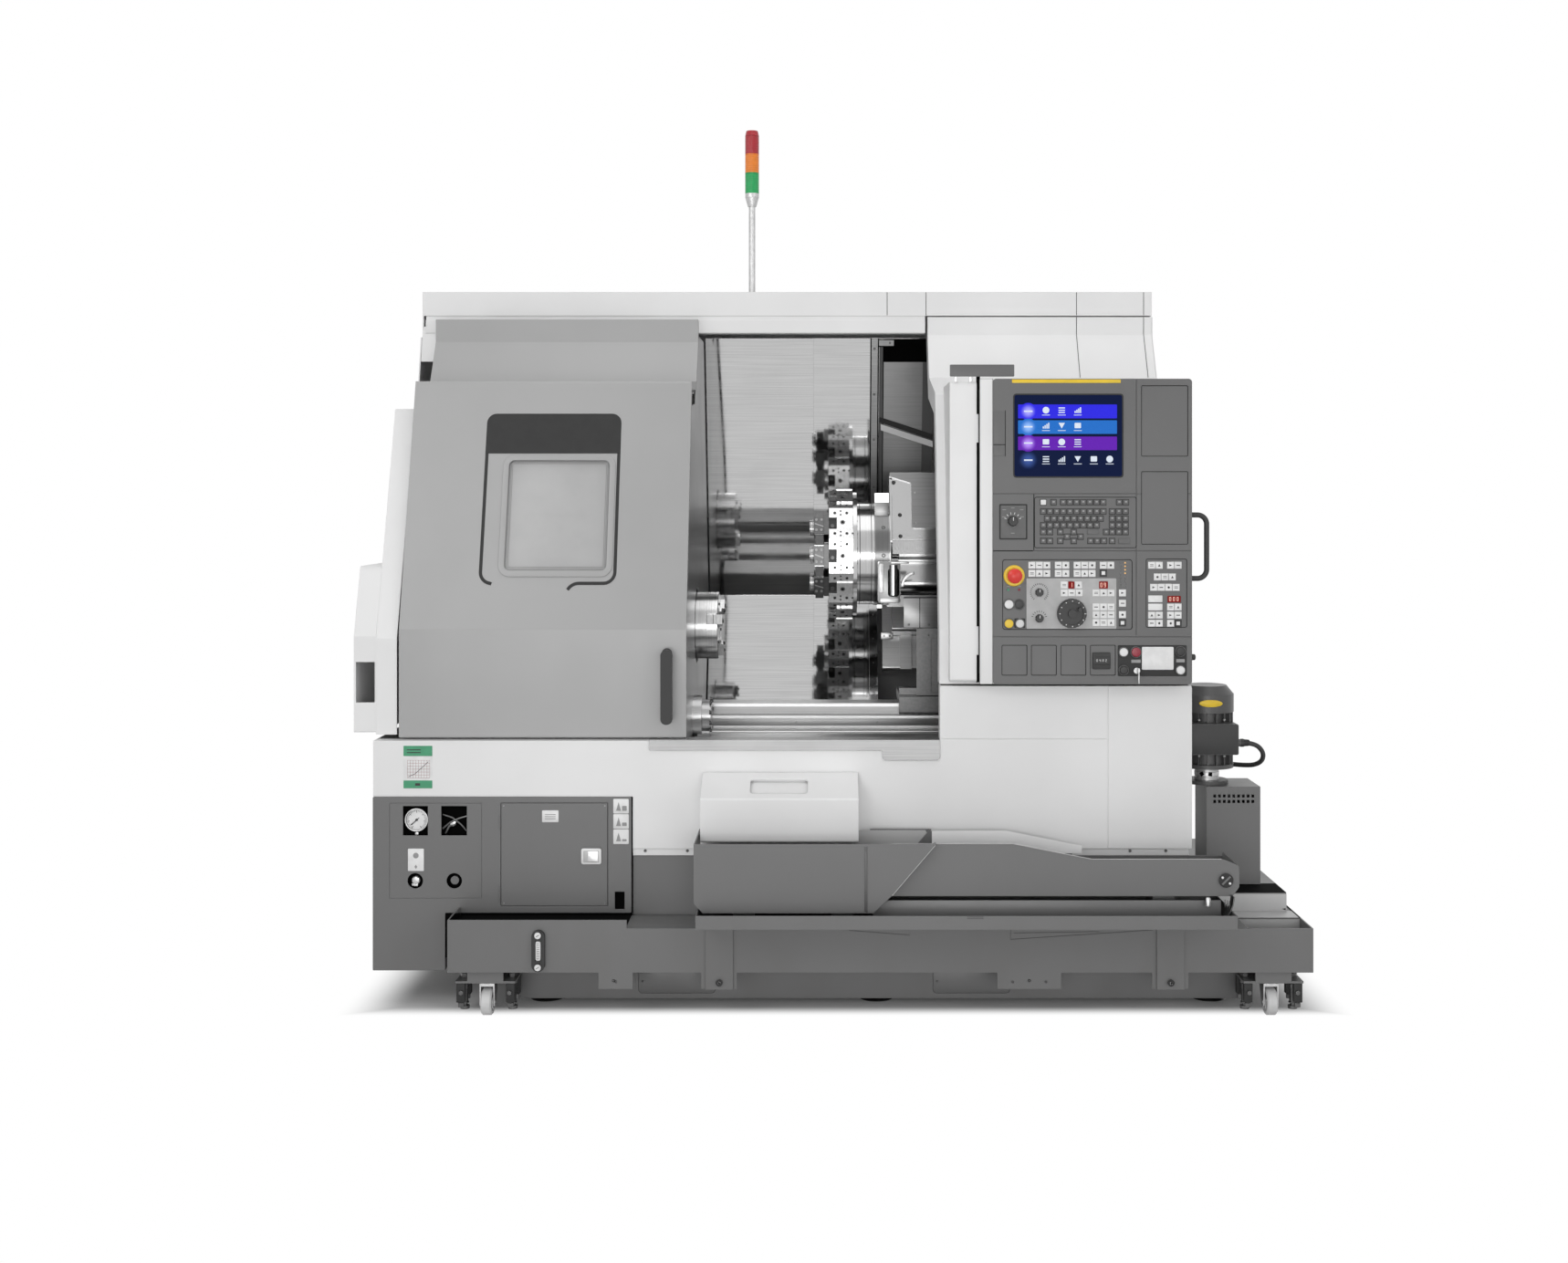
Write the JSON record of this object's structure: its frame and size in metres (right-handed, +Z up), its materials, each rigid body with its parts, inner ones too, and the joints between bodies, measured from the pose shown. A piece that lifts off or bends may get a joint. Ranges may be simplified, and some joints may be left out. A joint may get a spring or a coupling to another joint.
{
  "type": "cnc turning lathe",
  "caption": "Slant-bed turning lathe with a sliding door, tool turret, tailstock, swing-out control pendant, wheeled coolant tank, parts conveyor and signal tower.",
  "frame": {"origin": "middle of the footprint, on the floor", "axes": "+X along the spindle axis from the headstock to the tailstock, +Y from the operator to the back, +Z up"},
  "size_m": [2.7, 1.85, 2.633],
  "materials": {
    "white_paint": "satin powder coat",
    "door_paint": "satin powder coat",
    "dark_paint": "satin powder coat",
    "stainless": "brushed",
    "machined_steel": "ground",
    "black_steel": "black oxide",
    "zinc": "zinc plated",
    "casting": "painted casting",
    "pump_black": "semi-gloss black",
    "clear_glass": "laminated",
    "screen_glass": "gloss",
    "black_plastic": "fine grain",
    "red_plastic": "gloss",
    "pale_tread": "matte",
    "belt_rubber": "matte",
    "cable_rubber": "matte",
    "dial_white": "gloss",
    "green_lens": "ribbed lens",
    "amber_lens": "ribbed lens",
    "red_lens": "ribbed lens"
  },
  "bodies": {
    "machine": {"base_bed": "dark_paint", "levelling_pads": "black_steel", "headstock": "casting", "left_front_cover": "white_paint", "left_end_cover": "white_paint", "motor_cover": "white_paint", "front_lower_cover": "white_paint", "sill_plate": "stainless", "roof_cover": "white_paint", "right_front_cover": "white_paint", "right_end_cover": "white_paint", "rear_cabinet": "white_paint", "chamber_liner": "stainless", "service_cabinet": "dark_paint", "pressure_gauge": "dial_white", "coolant_tank": "dark_paint", "jack_screws": "zinc", "level_gauge": "black_plastic", "filter_box": "dark_paint", "coolant_pump": "pump_black", "pump_cable": "cable_rubber", "conveyor_frame": "dark_paint", "conveyor_belt": "belt_rubber", "drip_tray": "dark_paint", "stack_light_pole": "stainless", "lens_green": "green_lens", "lens_amber": "amber_lens", "lens_red": "red_lens"},
    "door": {"door_shell": "door_paint", "door_window": "clear_glass", "door_handle": "black_plastic"},
    "chuck": {"spindle_chuck": "machined_steel"},
    "jaw_1": {"jaw_1": "machined_steel"},
    "jaw_2": {"jaw_2": "machined_steel"},
    "jaw_3": {"jaw_3": "machined_steel"},
    "saddle": {"saddle": "machined_steel", "way_cover_right": "stainless"},
    "way_cover": {"way_cover_left": "stainless"},
    "cross_slide": {"cross_slide": "machined_steel"},
    "turret_housing": {"turret_housing": "machined_steel"},
    "turret": {"turret_disc": "machined_steel", "tool_holders": "black_steel"},
    "tailstock": {"tailstock": "machined_steel"},
    "live_centre": {"live_centre": "machined_steel"},
    "pendant": {"pendant_housing": "dark_paint", "display_screen": "screen_glass", "pendant_handle": "black_plastic"},
    "estop_button": {"estop_button": "red_plastic"},
    "handwheel": {"handwheel": "black_plastic"},
    "feed_knob": {"feed_knob": "black_plastic"},
    "speed_knob": {"speed_knob": "black_plastic"},
    "mode_selector": {"mode_selector": "black_plastic"},
    "key_switch": {"key_switch": "black_plastic"},
    "service_door": {"service_door": "dark_paint"},
    "chute_flap": {"chute_flap": "white_paint"},
    "caster_left": {"caster_fork_left": "zinc"},
    "wheel_left": {"caster_wheel_left": "pale_tread"},
    "caster_right": {"caster_fork_right": "zinc"},
    "wheel_right": {"caster_wheel_right": "pale_tread"},
    "wheel_rear": {"caster_wheel_rear": "pale_tread"}
  },
  "joints": [
    {"name": "door_slide", "type": "slide", "parent": "machine", "child": "door", "axis": [1, 0, 0], "range_m": [0, 0.72]},
    {"name": "spindle_spin", "type": "hinge", "parent": "machine", "child": "chuck", "pos_m": [-0.406, -0.068, 1.042], "axis": [1, 0, 0], "continuous": true},
    {"name": "jaw_1_slide", "type": "slide", "parent": "chuck", "child": "jaw_1", "axis": [0, -0.9659, 0.2588], "range_m": [0, 0.006]},
    {"name": "jaw_2_slide", "type": "slide", "parent": "chuck", "child": "jaw_2", "axis": [0, 0.2588, -0.9659], "range_m": [0, 0.006]},
    {"name": "jaw_3_slide", "type": "slide", "parent": "chuck", "child": "jaw_3", "axis": [0, 0.7071, 0.7071], "range_m": [0, 0.006]},
    {"name": "saddle_slide", "type": "slide", "parent": "machine", "child": "saddle", "axis": [1, 0, 0], "range_m": [-0.265, 0]},
    {"name": "way_cover_slide", "type": "slide", "parent": "machine", "child": "way_cover", "axis": [1, 0, 0], "range_m": [-0.1325, 0]},
    {"name": "cross_slide_travel", "type": "slide", "parent": "saddle", "child": "cross_slide", "axis": [0, 0.2517, 0.9678], "range_m": [0, 0.19]},
    {"name": "y_axis_travel", "type": "slide", "parent": "cross_slide", "child": "turret_housing", "axis": [0, 0.9678, -0.2517], "range_m": [-0.05, 0.05]},
    {"name": "turret_index", "type": "hinge", "parent": "turret_housing", "child": "turret", "pos_m": [0.102, -0.01, 1.26498], "axis": [1, 0, 0], "continuous": true},
    {"name": "tailstock_slide", "type": "slide", "parent": "machine", "child": "tailstock", "axis": [1, 0, 0], "range_m": [-0.16, 0]},
    {"name": "centre_spin", "type": "hinge", "parent": "tailstock", "child": "live_centre", "pos_m": [0.35, -0.068, 1.042], "axis": [1, 0, 0], "continuous": true},
    {"name": "pendant_swing", "type": "hinge", "parent": "machine", "child": "pendant", "pos_m": [0.434, -0.645, 1.35], "axis": [0, 0, -1], "range_deg": [0, 75]},
    {"name": "estop_press", "type": "slide", "parent": "pendant", "child": "estop_button", "axis": [0, 1, 0], "range_m": [0, 0.004], "stiffness_N_per_m": 1500},
    {"name": "handwheel_turn", "type": "hinge", "parent": "pendant", "child": "handwheel", "pos_m": [0.697, -0.665, 1.118], "axis": [0, -1, 0], "continuous": true},
    {"name": "feed_knob_turn", "type": "hinge", "parent": "pendant", "child": "feed_knob", "pos_m": [0.606, -0.665, 1.177], "axis": [0, -1, 0], "range_deg": [-135, 135]},
    {"name": "speed_knob_turn", "type": "hinge", "parent": "pendant", "child": "speed_knob", "pos_m": [0.606, -0.665, 1.104], "axis": [0, -1, 0], "range_deg": [-60, 60]},
    {"name": "mode_selector_turn", "type": "hinge", "parent": "pendant", "child": "mode_selector", "pos_m": [0.531, -0.665, 1.378], "axis": [0, -1, 0], "range_deg": [-60, 60]},
    {"name": "key_turn", "type": "hinge", "parent": "pendant", "child": "key_switch", "pos_m": [0.88, -0.665, 0.957], "axis": [0, -1, 0], "range_deg": [0, 90]},
    {"name": "service_door_swing", "type": "hinge", "parent": "machine", "child": "service_door", "pos_m": [-0.9225, -0.6115, 0.42], "axis": [0, 0, -1], "range_deg": [0, 110]},
    {"name": "chute_tilt", "type": "hinge", "parent": "machine", "child": "chute_flap", "pos_m": [-0.1245, -0.607, 0.484], "axis": [1, 0, 0], "range_deg": [0, 25]},
    {"name": "caster_left_swivel", "type": "hinge", "parent": "machine", "child": "caster_left", "pos_m": [-0.939, -0.69, 0.09], "axis": [0, 0, 1], "continuous": true},
    {"name": "wheel_left_roll", "type": "hinge", "parent": "caster_left", "child": "wheel_left", "pos_m": [-0.939, -0.705, 0.0377], "axis": [1, 0, 0], "continuous": true},
    {"name": "caster_right_swivel", "type": "hinge", "parent": "machine", "child": "caster_right", "pos_m": [1.245, -0.69, 0.09], "axis": [0, 0, 1], "continuous": true},
    {"name": "wheel_right_roll", "type": "hinge", "parent": "caster_right", "child": "wheel_right", "pos_m": [1.245, -0.705, 0.0377], "axis": [1, 0, 0], "continuous": true},
    {"name": "wheel_rear_roll", "type": "hinge", "parent": "machine", "child": "wheel_rear", "pos_m": [1.264, 0.135, 0.0377], "axis": [1, 0, 0], "continuous": true}
  ],
  "couplings": [
    {"joint": "jaw_2_slide", "follows": "jaw_1_slide", "ratio": 1},
    {"joint": "jaw_3_slide", "follows": "jaw_1_slide", "ratio": 1},
    {"joint": "way_cover_slide", "follows": "saddle_slide", "ratio": 0.5}
  ]
}
